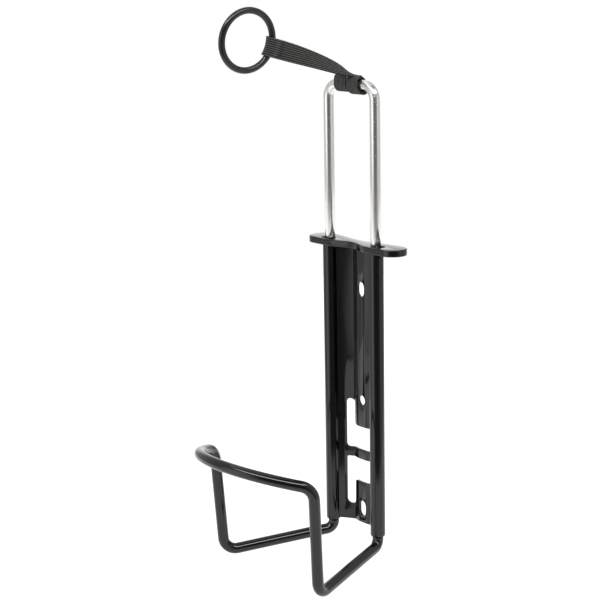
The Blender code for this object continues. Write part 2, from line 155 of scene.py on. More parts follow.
# ---- bends of the two rods
BAIL_BEND = 8.0 * MM
LOOP_IN_TUBE = 30.5 * MM
LOOP_RADIUS = 3.1 * MM      # below its necks, which are as thick as the bail
NECK_STEP = 0.3 * MM
HEEL_BELOW_TUBE = 6.0 * MM
HEEL_BEND = 5.0 * MM
TOE_BEND = 7.6 * MM
SHOULDER_REACH = 6.8 * MM
TOE_OUT = 24.1 * MM
TOE_FORWARD = 61.0 * MM
TOE_DROP = 7.2 * MM
FRONT_LEG_HEIGHT = 60.7 * MM
SHOULDER_OUT = 2.05 * MM
SHOULDER_FORWARD = 3.5 * MM
HOOP_RADIUS = 50.4 * MM
HOOP_BULGE = 30.4 * MM
HOOP_SLOPE = 0.293

# ---- how the strap runs
TURN_OFFSET = 5.25 * MM     # each turn's middle beside the middle of the bar
LEAVE_ANGLE = math.radians(25.0)    # where the run meets the bar, past its top
LANDING_X = 0.8 * MM        # the run's middle where it meets the bar
TWIST_LENGTH = 47.0 * MM    # the run turns from upright to level over this length
EVEN_TWIST = 0.67           # share of the twist that is spread evenly
LATE_POWER = 9              # the rest comes close to the bar
BOW_START = 5.5 * MM        # the strap's edge follows the ring's curve from this far behind it
BOW_SPAN = 3.5 * MM
STATION_STEP = 0.30 * MM
STEPS_PER_RIB = 6
RIB_VALLEY = 0.55           # height between two ribs, in rib heights
KNOT_DEPTH = 0.15
FOLD_LENGTH = 7.2 * MM      # end folded back over the run, from the ring's section
LAP_GAP = 0.08 * MM         # between the folded end and the run
EYE_GAP = 0.42 * MM         # between the ring's section and the fold
BAR_GAP = 0.15 * MM         # between the bar and the strap's first layer
LAYER_STEP = 1.05           # rise of the second layer, in strap thicknesses
RUN_STEPS = 90
TURN_STEPS = 280
LAST_TURN = 702.0           # where the strap ends on the bar, in degrees like those below
MOVE_OUT = (math.degrees(LEAVE_ANGLE), 130.0)   # start and span: to the right turn
SINK_IN = (150.0, 80.0)     # from the outer layer down to the bar
CROSS_OVER = (292.0, 240.0)     # from the right turn to the left turn
RIGHT_BULGE = ((285.0, 40.0), (350.0, 30.0))    # rise and fall of the right turn's front
LEFT_BULGE = (640.0, 45.0)
END_FLARE = (655.0, 40.0)
BULGE_HEIGHT = 0.8 * MM
FLARE_HEIGHT = 1.0 * MM

# ---- the stitches
STITCH_STEPS = 14
STITCH_NEAR = 5.2 * MM      # reach of the zigzag behind the ring's section
STITCH_FAR = 6.5 * MM
STITCH_SPREAD = 0.40        # half width of the zigzag, in strap widths

# ---- floor and camera
FLOOR_GAP = 22.0 * MM
FLOOR_RADIUS = 0.62
FLOOR_SHIFT = 0.35          # the floor's middle lies behind the object, so less shows in front
TOP_LIGHT_PLACE = Vector((-0.25, -0.1, 1.2))
TOP_LIGHT_SIZE = 1.0
TOP_LIGHT_POWER = 2.5
CAMERA_AZIMUTH = math.radians(53.23)
CAMERA_ELEVATION = math.radians(11.66)
CAMERA_ROLL = math.radians(-0.95)
CAMERA_DISTANCE = 0.945
CAMERA_TARGET = Vector((-0.0469, TUBE_Y + 0.1 * MM, 0.0177))
CAMERA_LENS = 96.72


# ------------------------------------------------------------------ settings

def length_setting(name, description, default, least=0.0):
    """A length in metres."""
    return bpy.props.FloatProperty(name=name, description=description, default=default,
                                   min=least, unit="LENGTH", precision=5)


def colour_setting(name, description, default):
    """A plain linear colour."""
    return bpy.props.FloatVectorProperty(name=name, description=description, default=default,
                                         subtype="COLOR", size=3, min=0.0, max=1.0)


def count_setting(name, description, default, least, most):
    """A whole number."""
    return bpy.props.IntProperty(name=name, description=description, default=default,
                                 min=least, max=most)


class CageSizes(bpy.types.PropertyGroup):
    """Sizes that change the look and not the fit."""

    edge_round: length_setting(
        "Edge rounding", "Rounding of the extrusion's cut edges", 0.28 * MM)
    plate_round: length_setting(
        "Plate rounding", "Rounding of the lock plate's edges", 0.45 * MM)
    rod_sides: count_setting("Rod sides", "Sides of each round rod", 40, 12, 96)
    strap_width: length_setting(
        "Strap width", "Width of the elastic strap", 10.2 * MM, 4 * MM)
    strap_thickness: length_setting(
        "Strap thickness", "Thickness of the strap over its ribs", 1.3 * MM, 0.5 * MM)
    rib_count: count_setting("Ribs", "Lengthwise ribs across the strap", 9, 3, 15)
    weave_pitch: length_setting(
        "Weave pitch", "Length of one knot of the weave along a rib", 2.6 * MM, 0.5 * MM)
    thread_radius: length_setting(
        "Thread radius", "Radius of the sewing thread", 0.2 * MM, 0.05 * MM)


class CageColours(bpy.types.PropertyGroup):
    """Colours of the finishes."""

    black_coat: colour_setting(
        "Black coat", "Gloss black of the backplate, plate and loop", (0.0014, 0.0010, 0.0013))
    steel: colour_setting("Steel", "Polished steel of the neck bail", (0.80, 0.785, 0.765))
    elastic: colour_setting("Elastic", "Yarn of the elastic strap", (0.034, 0.0325, 0.0315))
    ring: colour_setting("Ring", "Moulded neck ring", (0.0075, 0.0070, 0.0070))
    floor: colour_setting("Floor", "Pale floor", (0.93, 0.93, 0.93))


# ------------------------------------------------------------------ lines and outlines

def corner_arc(before, corner, after, radius, steps):
    """Points of the round that replaces a corner between two straight runs."""
    back = (before - corner).normalized()
    on = (after - corner).normalized()
    half = 0.5 * back.angle(on)
    reach = radius / math.tan(half)
    centre = corner + (back + on).normalized() * (radius / math.sin(half))
    start = corner + back * reach - centre
    axis = start.cross(corner + on * reach - centre).normalized()
    turn = math.pi - 2.0 * half
    return [centre + Matrix.Rotation(turn * i / steps, 3, axis) @ start for i in range(steps + 1)]


def rounded_path(corners, radii, steps):
    """An open line through corners, each inner corner rounded to its radius."""
    points = [corners[0]]
    for i, radius in enumerate(radii):
        points += corner_arc(corners[i], corners[i + 1], corners[i + 2], radius, steps)
    return points + [corners[-1]]


def rounded_outline(corners, radii, steps):
    """A closed flat outline with each corner rounded to its radius."""
    points = []
    for i, radius in enumerate(radii):
        after = corners[(i + 1) % len(corners)]
        points += corner_arc(corners[i - 1], corners[i], after, radius, steps)
    return points


def soft_bend(start, corner, end, steps):
    """A smooth bend that leaves both ends along the lines to the corner."""
    first = start.lerp(corner, 0.6)
    second = end.lerp(corner, 0.6)
    return [bezier(start, first, second, end, i / steps) for i in range(steps + 1)]


def bezier(a, b, c, d, t):
    """Point of a cubic curve."""
    s = 1.0 - t
    return s**3 * a + 3.0 * s * s * t * b + 3.0 * s * t * t * c + t**3 * d


def smooth_line(points, steps):
    """A smooth curve through given points."""
    line = []
    last = len(points) - 1
    for i in range(last):
        a, b = points[i], points[i + 1]
        before = points[i - 1] if i else a
        after = points[i + 2] if i + 2 <= last else b
        first = a + (b - before) / 6.0
        second = b - (after - a) / 6.0
        line += [bezier(a, first, second, b, k / steps) for k in range(steps)]
    return line + [points[-1]]


def arc_points(centre_x, centre_y, radius, first, turn, steps):
    """Points of an arc in plan."""
    points = []
    for i in range(steps + 1):
        angle = first + turn * i / steps
        x = centre_x + radius * math.cos(angle)
        points.append(Vector((x, centre_y + radius * math.sin(angle), 0.0)))
    return points


def slot_points(half, reach, centre, along, across, steps=16):
    """Closed slot with round ends, in the plane of two directions."""
    points = []
    for end in (1.0, -1.0):
        for i in range(steps + 1):
            angle = math.pi * i / steps
            x = end * half * math.cos(angle)
            z = end * (reach + half * math.sin(angle))
            points.append(centre + across * x + along * z)
    return points


# ------------------------------------------------------------------ meshes

def mesh_object(name, bm, sharp_degrees=40.0, outward=True):
    """A smooth-shaded object from a bmesh whose points are in place."""
    bmesh.ops.remove_doubles(bm, verts=bm.verts, dist=1e-7)
    if outward:
        bmesh.ops.recalc_face_normals(bm, faces=bm.faces)
    mesh = bpy.data.meshes.new(name)
    bm.to_mesh(mesh)
    bm.free()
    mesh.shade_smooth()
    mesh.set_sharp_from_angle(angle=math.radians(sharp_degrees))
    obj = bpy.data.objects.new(name, mesh)
    bpy.context.scene.collection.objects.link(obj)
    return obj


def of_kind(items, kind):
    """The vertices or edges among the items that an operator returns."""
    return [item for item in items if isinstance(item, kind)]


def edges_of(verts):
    """The edges at some vertices, each once and in a fixed order."""
    return list(dict.fromkeys(edge for vert in verts for edge in vert.link_edges))


def prism(name, outline, offset_low, offset_high):
    """Extrude a flat closed outline between two offsets."""
    bm = bmesh.new()
    base = bm.faces.new([bm.verts.new(point + offset_low) for point in outline])
    made = bmesh.ops.extrude_face_region(bm, geom=[base])["geom"]
    top = of_kind(made, bmesh.types.BMVert)
    bmesh.ops.translate(bm, verts=top, vec=offset_high - offset_low)
    return mesh_object(name, bm)


def carve(body, tools):
    """Join and cut solids one after the other, keep the result and remove the tools."""
    for tool, operation in tools:
        modifier = body.modifiers.new(tool.name, "BOOLEAN")
        modifier.operation = operation
        modifier.solver = "EXACT"
        modifier.object = tool
    graph = bpy.context.evaluated_depsgraph_get()
    mesh = bpy.data.meshes.new_from_object(body.evaluated_get(graph))
    body.modifiers.clear()
    for tool, _ in tools:
        bpy.data.objects.remove(tool, do_unlink=True)
    bm = bmesh.new()
    bm.from_mesh(mesh)
    bpy.data.objects.remove(body, do_unlink=True)
    return bm


def round_edges(bm, width, segments, degrees):
    """Round every edge that is sharper than an angle."""
    limit = math.radians(degrees)
    edges = [e for e in bm.edges if len(e.link_faces) == 2 and e.calc_face_angle(0.0) > limit]
    bmesh.ops.bevel(bm, geom=edges, offset=width, offset_type="OFFSET", segments=segments,
                    profile=0.5, affect="EDGES", clamp_overlap=True, material=-1)


def turned(name, profile, axis_point, steps):
    """Spin a closed profile in the X-Z plane round an upright axis."""
    bm = bmesh.new()
    verts = [bm.verts.new(axis_point + point) for point in profile]
    edges = [bm.edges.new((verts[i - 1], verts[i])) for i in range(len(verts))]
    bmesh.ops.spin(bm, geom=verts + edges, cent=axis_point, axis=(0, 0, 1), angle=math.tau,
                   steps=steps, use_merge=True)
    return mesh_object(name, bm)


def path_frames(points):
    """A matrix at each point of a line, carried along it without twist."""
    frames = []
    turn = heading = None
    for i, point in enumerate(points):
        along = (points[min(i + 1, len(points) - 1)] - points[max(i - 1, 0)]).normalized()
        if turn is None:
            turn = along.to_track_quat("Z", "Y").to_matrix()
        else:
            turn = heading.rotation_difference(along).to_matrix() @ turn
        heading = along
        frames.append(Matrix.Translation(point) @ turn.to_4x4())
    return frames


def sweep(bm, points, radii, sides, end_round=0.35):
    """Sweep a round section along a line, with rounded ends, and lay a UV map along it."""
    uv = bm.loops.layers.uv.verify()
    around = bm.verts.layers.float.get("around") or bm.verts.layers.float.new("around")
    length = bm.verts.layers.float.get("length") or bm.verts.layers.float.new("length")
    known = set(bm.faces)
    frames = path_frames(points)
    places = [frame @ Matrix.Scale(radius, 4) for frame, radius in zip(frames, radii)]
    first, last = places[0], places[-1]
    small = Matrix.Scale(1.0 - end_round, 4)
    inset = Matrix.Translation((0.0, 0.0, end_round))
    places = [first @ inset] + places[1:-1] + [last @ inset.inverted(), last @ small]
    here = first @ small
    ring = bmesh.ops.create_circle(bm, cap_ends=True, segments=sides, radius=1.0,
                                   matrix=here)["verts"]
    for i, vert in enumerate(ring):
        vert[around] = i / sides
        vert[length] = 0.0
    edges = edges_of(ring)
    travelled = 0.0
    for place in places:
        made = bmesh.ops.extrude_edge_only(bm, edges=edges)["geom"]
        verts = of_kind(made, bmesh.types.BMVert)
        edges = of_kind(made, bmesh.types.BMEdge)
        travelled += (place.translation - here.translation).length
        bmesh.ops.transform(bm, matrix=place @ here.inverted(), verts=verts)
        for vert in verts:
            vert[length] = travelled
        here = place
    bmesh.ops.contextual_create(bm, geom=edges)
    girth = math.tau * max(radii)
    for face in bm.faces:
        if face in known:
            continue
        turns = [loop.vert[around] for loop in face.loops]
        wraps = max(turns) - min(turns) > 0.5
        for loop, turn in zip(face.loops, turns):
            share = turn + 1.0 if wraps and turn < 0.5 else turn
            loop[uv].uv = (share * girth, loop.vert[length])


def finish_piece(obj, body, slot, material, *nodes):
    """Give a piece its finish and its body, and hide the CAD nodes it stands for; the slot is not
    used.
    """
    obj.data.materials.clear()
    obj.data.materials.append(material)
    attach(obj, body)
    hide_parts(*nodes)


# ------------------------------------------------------------------ shader groups

def new_group(name, inputs, outputs):
    """An empty shader group with named float, colour or vector sockets."""
    group = bpy.data.node_groups.new(name, "ShaderNodeTree")
    for label, kind, value in inputs:
        socket = group.interface.new_socket(label, in_out="INPUT", socket_type=kind)
        if value is not None:
            socket.default_value = value
    for label, kind in outputs:
        group.interface.new_socket(label, in_out="OUTPUT", socket_type=kind)
    return group, group.nodes.new("NodeGroupInput"), group.nodes.new("NodeGroupOutput")


def link(tree, *pairs):
    """Join sockets in a node tree."""
    for source, target in pairs:
        tree.links.new(source, target)


def math_node(tree, operation, a, b=None, clamp=False):
    """A Math node whose inputs are sockets or numbers."""
    node = tree.nodes.new("ShaderNodeMath")
    node.operation = operation
    node.use_clamp = clamp
    for index, value in enumerate((a, b)):
        if value is None:
            continue
        if isinstance(value, (int, float)):
            node.inputs[index].default_value = value
        else:
            tree.links.new(value, node.inputs[index])
    return node.outputs[0]


def weighted(tree, base, *terms):
    """A base value plus sockets, each times its weight."""
    total = base
    for socket, weight in terms:
        total = math_node(tree, "ADD", total, math_node(tree, "MULTIPLY", socket, weight))
    return total


def noise_node(tree, vector, scale, detail=2.0, roughness=0.5):
    """Noise on a vector socket."""
    node = tree.nodes.new("ShaderNodeTexNoise")
    node.inputs["Scale"].default_value = scale
    node.inputs["Detail"].default_value = detail
    node.inputs["Roughness"].default_value = roughness
    tree.links.new(vector, node.inputs["Vector"])
    return node.outputs["Fac"]


def stretched(tree, vector, scale):
    """Coordinates scaled by a vector, so that noise on them draws out into lines."""
    node = tree.nodes.new("ShaderNodeMapping")
    node.inputs["Scale"].default_value = scale
    tree.links.new(vector, node.inputs["Vector"])
    return node.outputs["Vector"]


def range_node(tree, value, low, high, to_low, to_high):
    """Map a value from one range to another, clamped."""
    node = tree.nodes.new("ShaderNodeMapRange")
    node.inputs["From Min"].default_value = low
    node.inputs["From Max"].default_value = high
    node.inputs["To Min"].default_value = to_low
    node.inputs["To Max"].default_value = to_high
    tree.links.new(value, node.inputs["Value"])
    return node.outputs["Result"]


def handling_group():
    """Handling marks: soft smudges and dust specks, from Object coordinates."""
    found = bpy.data.node_groups.get("Handling Marks")
    if found:
        return found
    group, source, target = new_group(
        "Handling Marks",
        [("Vector", "NodeSocketVector", None), ("Smudges", "NodeSocketFloat", 1.0),
         ("Dust", "NodeSocketFloat", 1.0)],
        [("Smudge", "NodeSocketFloat"), ("Speck", "NodeSocketFloat")])
    vector = source.outputs["Vector"]
    smudge = range_node(group, noise_node(group, vector, 42.0, 4.0, 0.6), 0.42, 0.72, 0.0, 1.0)
    speck = range_node(group, noise_node(group, vector, 1500.0, 1.0), 0.70, 0.80, 0.0, 1.0)
    link(group,
         (math_node(group, "MULTIPLY", smudge, source.outputs["Smudges"]),
          target.inputs["Smudge"]),
         (math_node(group, "MULTIPLY", speck, source.outputs["Dust"]), target.inputs["Speck"]))
    return group


def drawn_group():
    """Lines that drawing or polishing leaves, from coordinates already stretched along them."""
    found = bpy.data.node_groups.get("Drawn Lines")
    if found:
        return found
    group, source, target = new_group(
        "Drawn Lines",
        [("Vector", "NodeSocketVector", None), ("Contrast", "NodeSocketFloat", 1.0)],
        [("Line", "NodeSocketFloat"), ("Height", "NodeSocketFloat")])
    vector = source.outputs["Vector"]
    coarse = noise_node(group, vector, 1.0, 3.0, 0.6)
    fine = noise_node(group, vector, 4.3, 2.0, 0.5)
    both = math_node(group, "ADD", coarse, math_node(group, "MULTIPLY", fine, 0.5))
    line = range_node(group, both, 0.55, 0.95, 0.0, 1.0)
    link(group,
         (math_node(group, "MULTIPLY", line, source.outputs["Contrast"]), target.inputs["Line"]),
         (both, target.inputs["Height"]))
    return group


def place_group(tree, group, **values):
    """Put a shader group in a material and set its plain inputs."""
    node = tree.nodes.new("ShaderNodeGroup")
    node.node_tree = group
    for label, value in values.items():
        if isinstance(value, (int, float)):
            node.inputs[label].default_value = value
        else:
            tree.links.new(value, node.inputs[label])
    return node


def new_material(name, **values):
    """A Principled material and its tree, with constants set on the shader's own sockets."""
    material = bpy.data.materials.new(name)
    material.use_nodes = True
    tree = material.node_tree
    shader = tree.nodes["Principled BSDF"]
    for label, value in values.items():
        shader.inputs[label.replace("_", " ")].default_value = value
    return material, tree, shader


def coordinates(tree, kind):
    """Object or UV coordinates."""
    return tree.nodes.new("ShaderNodeTexCoord").outputs[kind]


def uv_parts(tree):
    """The two UV coordinates as plain values."""
    split = tree.nodes.new("ShaderNodeSeparateXYZ")
    link(tree, (coordinates(tree, "UV"), split.inputs["Vector"]))
    return split.outputs["X"], split.outputs["Y"]


def finish_shader(tree, shader, rough, tone):
    """Feed roughness and colour."""
    link(tree, (rough, shader.inputs["Roughness"]), (tone, shader.inputs["Base Color"]))


def bump(tree, shader, height, strength, distance):
    """Raise a surface by a height."""
    node = tree.nodes.new("ShaderNodeBump")
    node.inputs["Strength"].default_value = strength
    node.inputs["Distance"].default_value = distance
    link(tree, (height, node.inputs["Height"]), (node.outputs["Normal"], shader.inputs["Normal"]))


def colour_mix(tree, factor, low, high):
    """Mix two plain colours by a factor socket."""
    node = tree.nodes.new("ShaderNodeMix")
    node.data_type = "RGBA"
    node.inputs["A"].default_value = (*low, 1.0)
    node.inputs["B"].default_value = (*high, 1.0)
    tree.links.new(factor, node.inputs["Factor"])
    return node.outputs["Result"]


def lighter(colour, factor):
    """A colour brightened or darkened by a factor."""
    return tuple(min(1.0, channel * factor) for channel in colour)


# ------------------------------------------------------------------ materials

EXTRUSION_ROUGHNESS = 0.085
ROD_ROUGHNESS = 0.085
PLATE_ROUGHNESS = 0.10
STEEL_ROUGHNESS = 0.13
RING_ROUGHNESS = 0.17
WEFT_PITCH = 0.42 * MM      # spacing of the strap's cross threads
GROOVE_SHADE_RANGE = (-0.20, 0.60)    # part of a rib's wave over which the painted shade of a groove turns to the lighter crest


def gloss_black(name, colour, line_scale, roughness, line_depth):
    """Gloss black coat over drawn metal: faint draw lines, smudges and specks of dust."""
    material, tree, shader = new_material(name, IOR=1.5)
    place = coordinates(tree, "Object")
    lines = place_group(tree, drawn_group(), Vector=stretched(tree, place, line_scale),
                        Contrast=1.0)
    marks = place_group(tree, handling_group(), Vector=place, Smudges=1.0, Dust=1.0)
    rough = weighted(tree, roughness, (lines.outputs["Line"], 0.03),
                     (marks.outputs["Smudge"], 0.05), (marks.outputs["Speck"], 0.25))
    tone = colour_mix(tree, marks.outputs["Speck"], colour, lighter(colour, 3.0))
    finish_shader(tree, shader, rough, tone)
    bump(tree, shader, lines.outputs["Height"], line_depth, 0.05 * MM)
    return material


def polished_steel(colour):
    """Bright drawn rod: fine lines along its length, a little duller in patches."""
    material, tree, shader = new_material("polished_steel", Metallic=1.0)
    line = coordinates(tree, "UV")
    lines = place_group(tree, drawn_group(),
                        Vector=stretched(tree, line, (3800.0, 60.0, 1.0)), Contrast=1.0)
    marks = place_group(tree, handling_group(), Vector=coordinates(tree, "Object"),
                        Smudges=1.0, Dust=0.5)
    rough = weighted(tree, STEEL_ROUGHNESS, (lines.outputs["Line"], 0.12),
                     (marks.outputs["Smudge"], 0.06))
    tone = colour_mix(tree, lines.outputs["Line"], colour, lighter(colour, 0.86))
    finish_shader(tree, shader, rough, tone)
    bump(tree, shader, lines.outputs["Height"], 0.10, 0.01 * MM)
    return material


def woven_elastic(colour, width, ribs):
    """Woven elastic: yarn tone with fuzz, painted shade in the grooves and painted highlight on the
    crests of the ribs, and fine cross threads.
    """
    material, tree, shader = new_material("woven_elastic", Roughness=0.85, Sheen_Weight=0.08,
                                          Sheen_Roughness=0.5)
    shader.inputs["Specular IOR Level"].default_value = 0.15
    length, across = uv_parts(tree)
    rib = math_node(tree, "COSINE", math_node(tree, "MULTIPLY", across, math.tau * ribs / width))
    # painted shade: a wave across the strap that is low in the grooves between the ribs and high on
    # their crests
    painted_rib_shading = range_node(tree, rib, *GROOVE_SHADE_RANGE, 0.0, 1.0)
    threads = math_node(tree, "SINE", math_node(tree, "MULTIPLY", length, math.tau / WEFT_PITCH))
    fuzz = noise_node(tree, coordinates(tree, "Object"), 2600.0, 3.0, 0.7)
    rib_shading_and_fuzz = math_node(tree, "ADD", math_node(tree, "MULTIPLY", painted_rib_shading, 0.85),
                      math_node(tree, "MULTIPLY", fuzz, 0.20), clamp=True)
    # painted light and shade: the yarn colour falls to 5% in the grooves and rises to 2.1 times on
    # the crests
    tone = colour_mix(tree, rib_shading_and_fuzz, lighter(colour, 0.05), lighter(colour, 2.1))
    height = math_node(tree, "ADD", math_node(tree, "MULTIPLY", threads, 0.3), fuzz)
    link(tree, (tone, shader.inputs["Base Color"]))
    bump(tree, shader, height, 0.35, 0.06 * MM)
    return material


def sewing_thread(colour):
    """Twisted black sewing thread, with painted shade on the low side of each ply."""
    material, tree, shader = new_material("sewing_thread", Roughness=0.6)
    around, along = uv_parts(tree)
    slant = weighted(tree, 0.0, (around, 9000.0), (along, 12000.0))
    ply_relief_and_shade = range_node(tree, math_node(tree, "SINE", slant), -1.0, 1.0, 0.0, 1.0)
    # painted shade: the colour falls to 35% where the ply relief is low
    tone = colour_mix(tree, ply_relief_and_shade, lighter(colour, 0.35), lighter(colour, 1.0))
    link(tree, (tone, shader.inputs["Base Color"]))
    bump(tree, shader, ply_relief_and_shade, 0.5, 0.05 * MM)
    return material


def moulded_ring(colour):
    """Moulded black ring: a satin skin with fine grain and a few smudges."""
    material, tree, shader = new_material("moulded_ring", IOR=1.5)
    place = coordinates(tree, "Object")
    grain = noise_node(tree, place, 3200.0, 3.0, 0.6)
    marks = place_group(tree, handling_group(), Vector=place, Smudges=1.0, Dust=0.8)
    rough = weighted(tree, RING_ROUGHNESS, (grain, 0.10), (marks.outputs["Smudge"], 0.08))
    tone = colour_mix(tree, marks.outputs["Speck"], colour, lighter(colour, 2.5))
    finish_shader(tree, shader, rough, tone)
    bump(tree, shader, grain, 0.2, 0.05 * MM)
    return material


# ------------------------------------------------------------------ backplate

def web_section():
    """Closed outline of the folded web in plan, ending inside the tubes' walls."""
    root_x = LEG_X - BORE_RADIUS * math.cos(ROOT_ANGLE)
    root_y = BORE_RADIUS * math.sin(ROOT_ANGLE)
    middle = 0.5 * WEB_WALL
    right = [
        Vector((STRIP_HALF, STRIP_SETBACK + middle, 0.0)),
        Vector((VALLEY_HALF, VALLEY_SETBACK + middle, 0.0)),
        Vector((root_x, root_y, 0.0)),
    ]
    left = [Vector((-point.x, point.y, 0.0)) for point in reversed(right)]
    line = rounded_path(left + right, [FOLD_RADIUS] * 4, 8)
    front, back = [], []
    for i, point in enumerate(line):
        along = line[min(i + 1, len(line) - 1)] - line[max(i - 1, 0)]
        side = Vector((-along.y, along.x, 0.0)).normalized() * middle
        back.append(point + side)
        front.append(point - side)
    return [point + Vector((0.0, TUBE_Y, 0.0)) for point in front + back[::-1]]


def fork_outline(centre_z, side):
    """Opening that wraps a tongue: a wide mouth at the cross-bar and an arm on each side."""
    near = centre_z + side * 0.5 * BAR_HEIGHT
    tongue = near + side * OPENING_HEIGHT
    far = near + side * ARM_HEIGHT
    arm_round = 0.49 * (OPENING_HALF - TONGUE_HALF)
    half = [
        (OPENING_HALF, near, OPENING_CORNER),
        (OPENING_HALF, far, arm_round),
        (TONGUE_HALF, far, arm_round),
        (TONGUE_HALF, tongue, OPENING_CORNER),
    ]
    flat = half + [(-x, z, radius) for x, z, radius in reversed(half)]
    corners = [Vector((x, 0.0, z)) for x, z, _ in flat]
    return rounded_outline(corners, [radius for _, _, radius in flat], 8)


def tube_profile():
    """Section of a side tube's wall, drawn in at its lower end."""
    outer = TUBE_RADIUS
    steps = 5
    swage = []
    for i in range(steps + 1):
        angle = 0.5 * math.pi * i / steps
        x = outer - SWAGE_DEPTH * (1.0 - math.sin(angle))
        swage.append(Vector((x, 0.0, TUBE_BOTTOM + SWAGE_HEIGHT * (1.0 - math.cos(angle)))))
    return [Vector((BORE_RADIUS, 0.0, TUBE_BOTTOM))] + swage + [
        Vector((outer, 0.0, TUBE_TOP)), Vector((BORE_RADIUS, 0.0, TUBE_TOP))]


class CAGE_OT_backplate(bpy.types.Operator):
    """Build the extruded backplate with its bolt holes and cut-outs"""

    bl_idname = "cage.backplate"
    bl_label = "Backplate"

    def execute(self, context):
        sizes, colours = context.scene.cage_sizes, context.scene.cage_colours
        low = Vector((0.0, 0.0, TUBE_BOTTOM + WEB_SHORTER))
        high = Vector((0.0, 0.0, TUBE_TOP))
        web = prism("web_solid", web_section(), low, high)
        tools = []
        for side, word in ((-1, "left"), (1, "right")):
            foot = Vector((side * LEG_X, TUBE_Y, 0.0))
            under, over = 1.2 * TUBE_BOTTOM, 1.5 * TUBE_TOP
            bore = [Vector((x, 0.0, z)) for x, z in
                    ((0.0, under), (BORE_RADIUS, under), (BORE_RADIUS, over), (0.0, over))]
            tools.append((turned(word + "_tube", tube_profile(), foot, 72), "UNION"))
            tools.append((turned(word + "_bore", bore, foot, 48), "DIFFERENCE"))
        front, back = Vector((0.0, 2.5 * TUBE_Y, 0.0)), Vector((0.0, -TUBE_Y, 0.0))
        upright = Vector((0.0, 0.0, 1.0))
        holes = ((0.5, UPPER_SLOT_HEIGHT), (-0.5, ROUND_HOLE_HEIGHT), (-1.5, LOWER_SLOT_HEIGHT))
        for share, height in holes:
            centre = Vector((0.0, 0.0, share * BOSS_PITCH))
            half = 0.5 * HOLE_WIDTH
            outline = slot_points(half, 0.5 * height - half, centre, upright, SIDE)
            tools.append((prism("bolt_hole", outline, front, back), "DIFFERENCE"))
        for side in (1, -1):
            outline = fork_outline(-BOSS_PITCH, side)
            tools.append((prism("opening", outline, front, back), "DIFFERENCE"))
        bm = carve(web, tools)
        bmesh.ops.dissolve_degenerate(bm, edges=bm.edges, dist=1e-6)
        round_edges(bm, sizes.edge_round, 2, 55.0)
        plate = mesh_object("anodised_backplate", bm, 32.0)
        finish = gloss_black("gloss_black_extrusion", colours.black_coat,
                             (1600.0, 1600.0, 14.0), EXTRUSION_ROUGHNESS, 0.08)
        finish_piece(plate, "cage", "black_extrusion", finish, "backplate")
        return {"FINISHED"}


# ------------------------------------------------------------------ rods

def loop_half(side):
    """Half of the lower loop as places and radii, from inside its tube to the hoop's middle."""
    heel = Vector((side * LEG_X, TUBE_Y, TUBE_BOTTOM - HEEL_BELOW_TUBE))
    inside = Vector((heel.x, heel.y, TUBE_BOTTOM + LOOP_IN_TUBE))
    toe = heel + Vector((side * TOE_OUT, -TOE_FORWARD, -TOE_DROP))
    shoulder = toe + Vector((side * SHOULDER_OUT, -SHOULDER_FORWARD, FRONT_LEG_HEIGHT))
    hoop_y = shoulder.y - HOOP_BULGE + HOOP_RADIUS
    start = math.acos(abs(shoulder.x) / HOOP_RADIUS)

    def hoop_point(angle):
        x = side * HOOP_RADIUS * math.cos(angle)
        y = hoop_y - HOOP_RADIUS * math.sin(angle)
        return Vector((x, y, shoulder.z + HOOP_SLOPE * (shoulder.y - y)))

    points = rounded_path([inside, heel, toe, shoulder], [HEEL_BEND, TOE_BEND], 18)
    leg = (toe - shoulder).normalized()
    bend_end = start + SHOULDER_REACH / HOOP_RADIUS
    bend = soft_bend(shoulder + leg * SHOULDER_REACH, shoulder, hoop_point(bend_end), 18)
    steps = 32
    rest = 0.5 * math.pi - bend_end
    arc = [hoop_point(bend_end + rest * i / steps) for i in range(1, steps + 1)]
    neck = [Vector((heel.x, heel.y, TUBE_BOTTOM)),
            Vector((heel.x, heel.y, TUBE_BOTTOM - NECK_STEP))]
    line = points[:1] + neck + points[1:-1] + bend + arc
    radii = [ROD_RADIUS] * 2 + [LOOP_RADIUS] * (len(line) - 2)
    return list(zip(line, radii))


def rod_object(name, points, radii, sides):
    """A round rod along a line."""
    bm = bmesh.new()
    sweep(bm, points, radii, sides)
    return mesh_object(name, bm, 50.0)


class CAGE_OT_bottle_loop(bpy.types.Operator):
    """Build the lower loop from one bent rod"""

    bl_idname = "cage.bottle_loop"
    bl_label = "Bottle Loop"

    def execute(self, context):
        sizes, colours = context.scene.cage_sizes, context.scene.cage_colours
        points, radii = zip(*(loop_half(-1) + loop_half(1)[-2::-1]))
        loop = rod_object("coated_bottle_loop", points, radii, sizes.rod_sides)
        finish = gloss_black("gloss_black_rod", colours.black_coat, (260.0, 260.0, 260.0),
                             ROD_ROUGHNESS, 0.30)
        finish_piece(loop, "cage", "black_rod", finish, "bottle_loop")
        return {"FINISHED"}


class CAGE_OT_neck_bail(bpy.types.Operator):
    """Build the sliding bail from one bright rod"""

    bl_idname = "cage.neck_bail"
    bl_label = "Neck Bail"

    def execute(self, context):
        sizes, colours = context.scene.cage_sizes, context.scene.cage_colours
        corners = [Vector((x, TUBE_Y, z)) for x, z in
                   ((-LEG_X, BAIL_LOW.z), (-LEG_X, BAR_Z), (LEG_X, BAR_Z), (LEG_X, BAIL_LOW.z))]
        points = rounded_path(corners, [BAIL_BEND, BAIL_BEND], 24)
        radii = [ROD_RADIUS] * len(points)
        bail = rod_object("polished_neck_bail", points, radii, sizes.rod_sides)
        finish_piece(bail, "bail", "polished_steel", polished_steel(colours.steel), "neck_bail")
        return {"FINISHED"}


# ------------------------------------------------------------------ lock plate

def plate_edge(half_width, middle, end):
    """A smooth edge in plan, level at the waist and at the lobe, from left to right."""
    steps = 48
    points = []
    for i in range(steps + 1):
        share = -1.0 + 2.0 * i / steps
        y = middle + (end - middle) * 0.5 * (1.0 - math.cos(math.pi * share))
        points.append(Vector((share * half_width, TUBE_Y + y, 0.0)))
    return points


